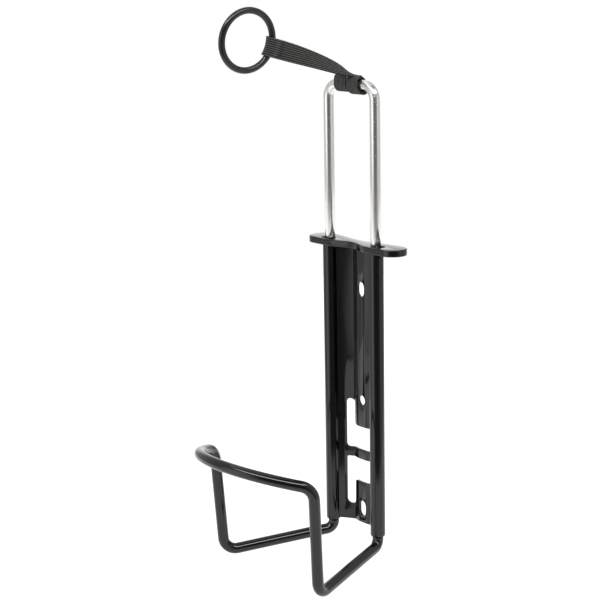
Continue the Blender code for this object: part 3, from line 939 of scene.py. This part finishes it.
def plate_outline():
    """Dog-bone outline of the lock plate in plan."""
    lobe_x = LEG_X + LOBE_OFFSET
    lobe_y = TUBE_Y + LOBE_SETBACK
    quarter = 0.5 * math.pi
    points = plate_edge(LEG_X - ROD_RADIUS, WAIST_FRONT, LOBE_SETBACK - LOBE_RADIUS)
    points += arc_points(lobe_x, lobe_y, LOBE_RADIUS, -quarter, math.pi, 40)
    points += plate_edge(lobe_x, WAIST_BACK, LOBE_SETBACK + LOBE_RADIUS)[-2:0:-1]
    points += arc_points(-lobe_x, lobe_y, LOBE_RADIUS, quarter, math.pi, 40)
    return points


class CAGE_OT_lock_plate(bpy.types.Operator):
    """Build the lock plate with its two leg slots"""

    bl_idname = "cage.lock_plate"
    bl_label = "Lock Plate"

    def execute(self, context):
        sizes, colours = context.scene.cage_sizes, context.scene.cage_colours
        low, high = Vector((0.0, 0.0, PLATE_LOW.z)), Vector((0.0, 0.0, PLATE_HIGH.z))
        body = prism("plate_solid", plate_outline(), low, high)
        tools = []
        for side in (-1, 1):
            centre = Vector((side * (LEG_X + 0.5 * SLOT_TRAVEL), TUBE_Y, 0.0))
            outline = slot_points(BORE_RADIUS, 0.5 * SLOT_TRAVEL, centre, SIDE,
                                  Vector((0.0, 1.0, 0.0)), 20)
            tools.append((prism("leg_slot", outline, 0.5 * low, 1.5 * high), "DIFFERENCE"))
        bm = carve(body, tools)
        round_edges(bm, sizes.plate_round, 4, 60.0)
        plate = mesh_object("coated_lock_plate", bm, 40.0)
        finish = gloss_black("gloss_black_plate", colours.black_coat, (30.0, 1500.0, 30.0),
                             PLATE_ROUGHNESS, 0.10)
        finish_piece(plate, "lock", "black_plate", finish, "lock_plate")
        return {"FINISHED"}


# ------------------------------------------------------------------ strap

def fold_line(thickness):
    """Middle of the strap round the ring, as distances outward and to the side."""
    lap = 0.5 * thickness + LAP_GAP
    eye = RING_SECTION_RADIUS + EYE_GAP + 0.5 * thickness
    near = [(-FOLD_LENGTH, lap), (-5.9 * MM, lap), (-4.7 * MM, lap + 0.12 * MM),
            (-3.4 * MM, 0.46 * eye), (-2.1 * MM, 0.80 * eye)]
    round_turn = [(eye * math.sin(angle), eye * math.cos(angle))
                  for angle in (math.radians(d) for d in range(-20, 201, 20))]
    far = [(a, -b) for a, b in reversed(near[1:])]
    return [LOOP_PLACE + LOOP_OUTWARD * a + RING_SIDE * b for a, b in near + round_turn + far]


def run_line(start, thickness):
    """Middle of the strap from the ring's fold to the place where it lands on the bar."""
    radius = ROD_RADIUS + BAR_GAP + (0.5 + LAYER_STEP) * thickness
    end = Vector((LANDING_X, TUBE_Y + radius * math.sin(LEAVE_ANGLE),
                  BAR_Z + radius * math.cos(LEAVE_ANGLE)))
    landing = Vector((math.sin(0.5 * LEAVE_ANGLE), math.cos(LEAVE_ANGLE), -math.sin(LEAVE_ANGLE)))
    pull = (end - start).length / 3.0
    return [bezier(start, start - LOOP_OUTWARD * pull, end - landing * pull, end, i / RUN_STEPS)
            for i in range(RUN_STEPS + 1)]


def turn_line(thickness):
    """Middle of the strap over two turns on the bar, lifted a little at its end."""
    inner = ROD_RADIUS + BAR_GAP + 0.5 * thickness
    outer = inner + LAYER_STEP * thickness
    first = math.degrees(LEAVE_ANGLE)
    points = []
    for i in range(1, TURN_STEPS + 1):
        degrees = first + (LAST_TURN - first) * i / TURN_STEPS

        def passed(start, span):
            return ease((degrees - start) / span)

        rise = passed(*RIGHT_BULGE[0]) - passed(*RIGHT_BULGE[1]) + passed(*LEFT_BULGE)
        radius = outer + (inner - outer) * passed(*SINK_IN)
        radius += BULGE_HEIGHT * rise + FLARE_HEIGHT * passed(*END_FLARE)
        x = LANDING_X + (TURN_OFFSET - LANDING_X) * passed(*MOVE_OUT)
        x -= 2.0 * TURN_OFFSET * passed(*CROSS_OVER)
        angle = math.radians(degrees)
        points.append(Vector((x, TUBE_Y + radius * math.sin(angle),
                              BAR_Z + radius * math.cos(angle))))
    return points


def ease(share):
    """Smooth step from 0 to 1."""
    share = min(max(share, 0.0), 1.0)
    return share * share * (3.0 - 2.0 * share)


def round_off(share):
    """Height of a quarter round from its foot, 0, to its top, 1."""
    share = min(max(share, 0.0), 1.0)
    return math.sqrt(1.0 - (1.0 - share) ** 2)


def strap_stations(thickness):
    """Each station of the strap: distance along it, place, width direction and normal."""
    fold = smooth_line(fold_line(thickness), 6)
    run = run_line(fold[-1], thickness)[1:]
    turns = turn_line(thickness)
    line = fold + run + turns
    stations = []
    travelled = 0.0
    for i, point in enumerate(line):
        along = (line[min(i + 1, len(line) - 1)] - line[max(i - 1, 0)]).normalized()
        travelled += (point - line[max(i - 1, 0)]).length
        if i < len(fold):
            width = -RING_TANGENT
        elif i < len(fold) + len(run):
            ahead = (line[len(fold) + len(run) - 1] - point).length
            share = 1.0 - ahead / TWIST_LENGTH
            late = (1.0 - EVEN_TWIST) * share ** LATE_POWER
            turn = 0.5 * math.pi * (EVEN_TWIST * share + late)
            turn = max(turn, -RING_LEAN)
            down = SIDE.cross(along).normalized()
            down = down if down.z < 0.0 else -down
            width = down * math.cos(turn) + SIDE * math.sin(turn)
        else:
            width = SIDE
        stations.append((travelled, point, width, along.cross(width).normalized()))
    return stations


class StrapSurface:
    """Carries flat places on the strap to their places in space."""

    def __init__(self, thickness):
        self.stations = strap_stations(thickness)
        self.length = self.stations[-1][0]
        self.index = 0

    def at(self, along, across, height):
        """Place of a point at a distance along, across and above the strap's middle."""
        stations = self.stations
        while self.index > 0 and stations[self.index][0] > along:
            self.index -= 1
        while self.index < len(stations) - 2 and stations[self.index + 1][0] < along:
            self.index += 1
        before, after = stations[self.index], stations[self.index + 1]
        gap = after[0] - before[0]
        share = (along - before[0]) / gap if gap > 0.0 else 0.0
        place = before[1].lerp(after[1], share)
        width = before[2].lerp(after[2], share)
        normal = before[3].lerp(after[3], share)
        reach = (place - LOOP_PLACE).dot(LOOP_OUTWARD)
        near = ease((reach + BOW_START) / BOW_SPAN)
        bow = RING_RADIUS - math.sqrt(RING_RADIUS**2 - across**2)
        return place + width * across + normal * height + LOOP_OUTWARD * bow * near


def rib_height(along, across, width, ribs, pitch, thickness):
    """Half thickness of the strap: rounded edges, lengthwise ribs and knots along them."""
    share = across / width + 0.5
    number = min(int(share * ribs), ribs - 1)
    rib = math.sqrt(0.5 - 0.5 * math.cos(math.tau * ribs * share))
    wave = math.cos(math.tau * along / pitch + math.pi * number)
    knot = 1.0 - KNOT_DEPTH + KNOT_DEPTH * wave
    edge = min(share, 1.0 - share) * width / (0.45 * thickness)
    return 0.5 * thickness * round_off(edge) * (RIB_VALLEY + (1.0 - RIB_VALLEY) * rib * knot)


class CAGE_OT_elastic_strap(bpy.types.Operator):
    """Build the ribbed elastic strap, with its fold round the ring and its turns on the bar"""

    bl_idname = "cage.elastic_strap"
    bl_label = "Elastic Strap"

    def execute(self, context):
        sizes, colours = context.scene.cage_sizes, context.scene.cage_colours
        width, thickness = sizes.strap_width, sizes.strap_thickness
        surface = StrapSurface(thickness)
        steps_along = int(surface.length / STATION_STEP)
        steps_across = STEPS_PER_RIB * sizes.rib_count
        bm = bmesh.new()
        uv = bm.loops.layers.uv.verify()
        bmesh.ops.create_grid(bm, x_segments=steps_along, y_segments=steps_across, size=0.5)
        bmesh.ops.scale(bm, verts=bm.verts, vec=(surface.length, width, 1.0))
        bmesh.ops.translate(bm, verts=bm.verts, vec=(0.5 * surface.length, 0.0, 0.0))
        made = bmesh.ops.extrude_face_region(bm, geom=list(bm.faces))["geom"]
        raised = of_kind(made, bmesh.types.BMVert)
        bmesh.ops.translate(bm, verts=raised, vec=(0.0, 0.0, 1.0))
        for face in bm.faces:
            for loop in face.loops:
                loop[uv].uv = (loop.vert.co.x, loop.vert.co.y)
        for vert in sorted(bm.verts, key=lambda v: v.co.x):
            along, across, side = vert.co.x, vert.co.y, 2.0 * vert.co.z - 1.0
            half = rib_height(along, across, width, sizes.rib_count, sizes.weave_pitch, thickness)
            ends = min(along, surface.length - along) / (0.4 * thickness)
            half *= 0.15 + 0.85 * round_off(ends)
            vert.co = surface.at(along, across, side * half)
        strap = mesh_object("woven_strap", bm, 80.0)
        finish = woven_elastic(colours.elastic, width, sizes.rib_count)
        finish_piece(strap, "strap", "black_elastic", finish, "elastic_strap")
        return {"FINISHED"}


class CAGE_OT_strap_stitching(bpy.types.Operator):
    """Sew the folded end of the strap with a zigzag on each face"""

    bl_idname = "cage.strap_stitching"
    bl_label = "Strap Stitching"

    def execute(self, context):
        sizes, colours = context.scene.cage_sizes, context.scene.cage_colours
        radius = sizes.thread_radius
        lift = sizes.strap_thickness + LAP_GAP + 0.3 * radius
        half = STITCH_SPREAD * sizes.strap_width
        bm = bmesh.new()
        for side in (1.0, -1.0):
            points = []
            for i in range(STITCH_STEPS + 1):
                reach = STITCH_FAR if i % 2 else STITCH_NEAR
                across = -half + 2.0 * half * i / STITCH_STEPS
                points.append(LOOP_PLACE - LOOP_OUTWARD * reach + RING_TANGENT * across
                              + RING_SIDE * side * lift)
            line = smooth_line(points, 5)
            sweep(bm, line, [radius] * len(line), 10)
        stitches = mesh_object("zigzag_stitching", bm, 60.0)
        finish = sewing_thread(lighter(colours.elastic, 0.5))
        finish_piece(stitches, "strap", "black_thread", finish, "strap_stitching")
        return {"FINISHED"}


class CAGE_OT_neck_ring(bpy.types.Operator):
    """Build the moulded ring that goes over the bottle's neck"""

    bl_idname = "cage.neck_ring"
    bl_label = "Neck Ring"

    def execute(self, context):
        colours = context.scene.cage_colours
        bm = bmesh.new()
        turn = Matrix.Translation(RING_CENTRE + LOOP_OUTWARD * RING_RADIUS)
        across = Matrix((LOOP_OUTWARD, RING_SIDE, RING_TANGENT)).transposed().to_4x4()
        circle = bmesh.ops.create_circle(bm, segments=32, radius=RING_SECTION_RADIUS,
                                         matrix=turn @ across)["verts"]
        bmesh.ops.spin(bm, geom=circle + edges_of(circle), cent=RING_CENTRE, axis=RING_SIDE,
                       angle=math.tau, steps=144, use_merge=True)
        ring = mesh_object("moulded_neck_ring", bm, 60.0)
        finish_piece(ring, "ring", "black_ring", moulded_ring(colours.ring), "neck_ring")
        return {"FINISHED"}


# ------------------------------------------------------------------ stage

FRONT_AZIMUTH = 53.0
WALL_RANGE = (0.93, 0.40, 0.20, 0.85)   # dim in front, brighter towards the sides and the back
# azimuth, elevation, soft edge, full edge and strength of each panel
PANELS = (
    (-8.0, 0.0, 0.88, 0.97, 1.25),
    (116.0, 0.0, 0.90, 0.98, 0.30),
    (233.0, 12.0, 0.90, 0.97, 0.8),
)
CEILING_RANGE = (0.80, 0.95, 1.0, 0.12)
STRIP_LOWER = (0.65, 0.70)
STRIP_UPPER = (0.80, 0.75)
STRIP_FRONT = (0.05, 0.45)
STRIP_STRENGTH = 18.0
DIFFUSE_STRENGTH = 1.32
BACKDROP_STRENGTH = 1.0


def studio_world():
    """Pale surround: plain for the camera and for matt light, soft panels in reflections."""
    world = bpy.data.worlds.new("studio")
    bpy.context.scene.world = world
    world.use_nodes = True
    world.cycles.sampling_method = "NONE"
    tree = world.node_tree
    tree.nodes.clear()
    look = tree.nodes.new("ShaderNodeTexCoord").outputs["Generated"]

    def facing(azimuth, elevation):
        a, e = math.radians(azimuth), math.radians(elevation)
        node = tree.nodes.new("ShaderNodeVectorMath")
        node.operation = "DOT_PRODUCT"
        node.inputs[1].default_value = (math.sin(a) * math.cos(e), -math.cos(a) * math.cos(e),
                                        math.sin(e))
        tree.links.new(look, node.inputs[0])
        return node.outputs["Value"]

    split = tree.nodes.new("ShaderNodeSeparateXYZ")
    link(tree, (look, split.inputs["Vector"]))
    height = split.outputs["Z"]
    front = facing(FRONT_AZIMUTH, 0.0)
    glow = range_node(tree, front, *WALL_RANGE)
    for azimuth, elevation, edge, core, strength in PANELS:
        panel = range_node(tree, facing(azimuth, elevation), edge, core, 0.0, strength)
        glow = math_node(tree, "ADD", glow, panel)
    band = math_node(tree, "MULTIPLY", range_node(tree, height, *STRIP_LOWER, 0.0, 1.0),
                     range_node(tree, height, *STRIP_UPPER, 0.0, 1.0))
    band = math_node(tree, "MULTIPLY", band,
                     range_node(tree, front, *STRIP_FRONT, 0.0, STRIP_STRENGTH))
    glow = math_node(tree, "MULTIPLY", glow, range_node(tree, height, *CEILING_RANGE))
    glow = math_node(tree, "ADD", glow, band)
    rays = tree.nodes.new("ShaderNodeLightPath")
    room = tree.nodes.new("ShaderNodeBackground")
    soft = plain_background(tree, DIFFUSE_STRENGTH)
    backdrop = plain_background(tree, BACKDROP_STRENGTH)
    indoors = tree.nodes.new("ShaderNodeMixShader")
    mix = tree.nodes.new("ShaderNodeMixShader")
    output = tree.nodes.new("ShaderNodeOutputWorld")
    link(tree, (glow, room.inputs["Strength"]),
         (rays.outputs["Is Diffuse Ray"], indoors.inputs["Fac"]),
         (room.outputs["Background"], indoors.inputs[1]),
         (soft.outputs["Background"], indoors.inputs[2]),
         (rays.outputs["Is Camera Ray"], mix.inputs["Fac"]),
         (indoors.outputs["Shader"], mix.inputs[1]),
         (backdrop.outputs["Background"], mix.inputs[2]),
         (mix.outputs["Shader"], output.inputs["Surface"]))


def plain_background(tree, strength):
    """White surround of one strength."""
    node = tree.nodes.new("ShaderNodeBackground")
    node.inputs["Color"].default_value = (1.0, 1.0, 1.0, 1.0)
    node.inputs["Strength"].default_value = strength
    return node


def area_light(name, place, target, size, power):
    """A square soft light that faces a point."""
    data = bpy.data.lights.new(name, "AREA")
    data.size = size
    data.energy = power
    light = bpy.data.objects.new(name, data)
    light.location = place
    light.rotation_euler = (target - place).to_track_quat("-Z", "Y").to_euler()
    bpy.context.scene.collection.objects.link(light)


class CAGE_OT_stage(bpy.types.Operator):
    """Set the floor, the studio light and the camera"""

    bl_idname = "cage.stage"
    bl_label = "Stage"

    def execute(self, context):
        colours = context.scene.cage_colours
        bm = bmesh.new()
        away = Vector((-math.sin(CAMERA_AZIMUTH), math.cos(CAMERA_AZIMUTH), 0.0))
        low = Vector((0.0, 0.0, CAD_BOX[0].z - FLOOR_GAP))
        drop = Matrix.Translation(FLOOR_SHIFT * away + low)
        bmesh.ops.create_circle(bm, cap_ends=True, segments=96, radius=FLOOR_RADIUS, matrix=drop)
        floor = mesh_object("floor", bm, outward=False)
        material, _, shader = new_material("pale_floor", Roughness=0.9)
        shader.inputs["Base Color"].default_value = (*colours.floor, 1.0)
        floor.data.materials.append(material)
        studio_world()
        target = Vector((0.0, TUBE_Y, 0.02))
        area_light("top_light", TOP_LIGHT_PLACE, target, TOP_LIGHT_SIZE, TOP_LIGHT_POWER)
        context.scene.view_settings.view_transform = "Standard"
        lens = bpy.data.cameras.new("camera")
        lens.lens = CAMERA_LENS
        lens.clip_start = 0.05
        lens.clip_end = 50.0
        camera = bpy.data.objects.new("camera", lens)
        level = math.cos(CAMERA_ELEVATION)
        back = Vector((math.sin(CAMERA_AZIMUTH) * level, -math.cos(CAMERA_AZIMUTH) * level,
                       math.sin(CAMERA_ELEVATION)))
        turn = (-back).to_track_quat("-Z", "Y").to_matrix().to_4x4()
        roll = Matrix.Rotation(CAMERA_ROLL, 4, "Z")
        place = Matrix.Translation(CAMERA_TARGET + back * CAMERA_DISTANCE)
        camera.matrix_world = place @ turn @ roll
        context.scene.collection.objects.link(camera)
        context.scene.camera = camera
        return {"FINISHED"}


# ------------------------------------------------------------------ add-on

OPERATORS = (
    CAGE_OT_stage,
    CAGE_OT_backplate,
    CAGE_OT_bottle_loop,
    CAGE_OT_neck_bail,
    CAGE_OT_lock_plate,
    CAGE_OT_elastic_strap,
    CAGE_OT_strap_stitching,
    CAGE_OT_neck_ring,
)


class CAGE_PT_panel(bpy.types.Panel):
    """Lists the cage's pieces, sizes and colours"""

    bl_idname = "CAGE_PT_panel"
    bl_label = "Bottle Cage"
    bl_space_type = "VIEW_3D"
    bl_region_type = "UI"
    bl_category = "Bottle Cage"

    def draw(self, context):
        layout = self.layout
        for settings in (context.scene.cage_sizes, context.scene.cage_colours):
            for name in settings.bl_rna.properties.keys():
                if name not in ("rna_type", "name"):
                    layout.prop(settings, name)
        for operator in OPERATORS:
            layout.operator(operator.bl_idname)


CLASSES = (CageSizes, CageColours, *OPERATORS, CAGE_PT_panel)


def register():
    for cls in CLASSES:
        bpy.utils.register_class(cls)
    bpy.types.Scene.cage_sizes = bpy.props.PointerProperty(type=CageSizes)
    bpy.types.Scene.cage_colours = bpy.props.PointerProperty(type=CageColours)


def unregister():
    del bpy.types.Scene.cage_colours
    del bpy.types.Scene.cage_sizes
    for cls in reversed(CLASSES):
        bpy.utils.unregister_class(cls)


def main():
    register()
    bpy.ops.cage.stage()
    bpy.ops.cage.backplate()
    bpy.ops.cage.bottle_loop()
    bpy.ops.cage.neck_bail()
    bpy.ops.cage.lock_plate()
    bpy.ops.cage.elastic_strap()
    bpy.ops.cage.strap_stitching()
    bpy.ops.cage.neck_ring()


if __name__ == "__main__":
    main()
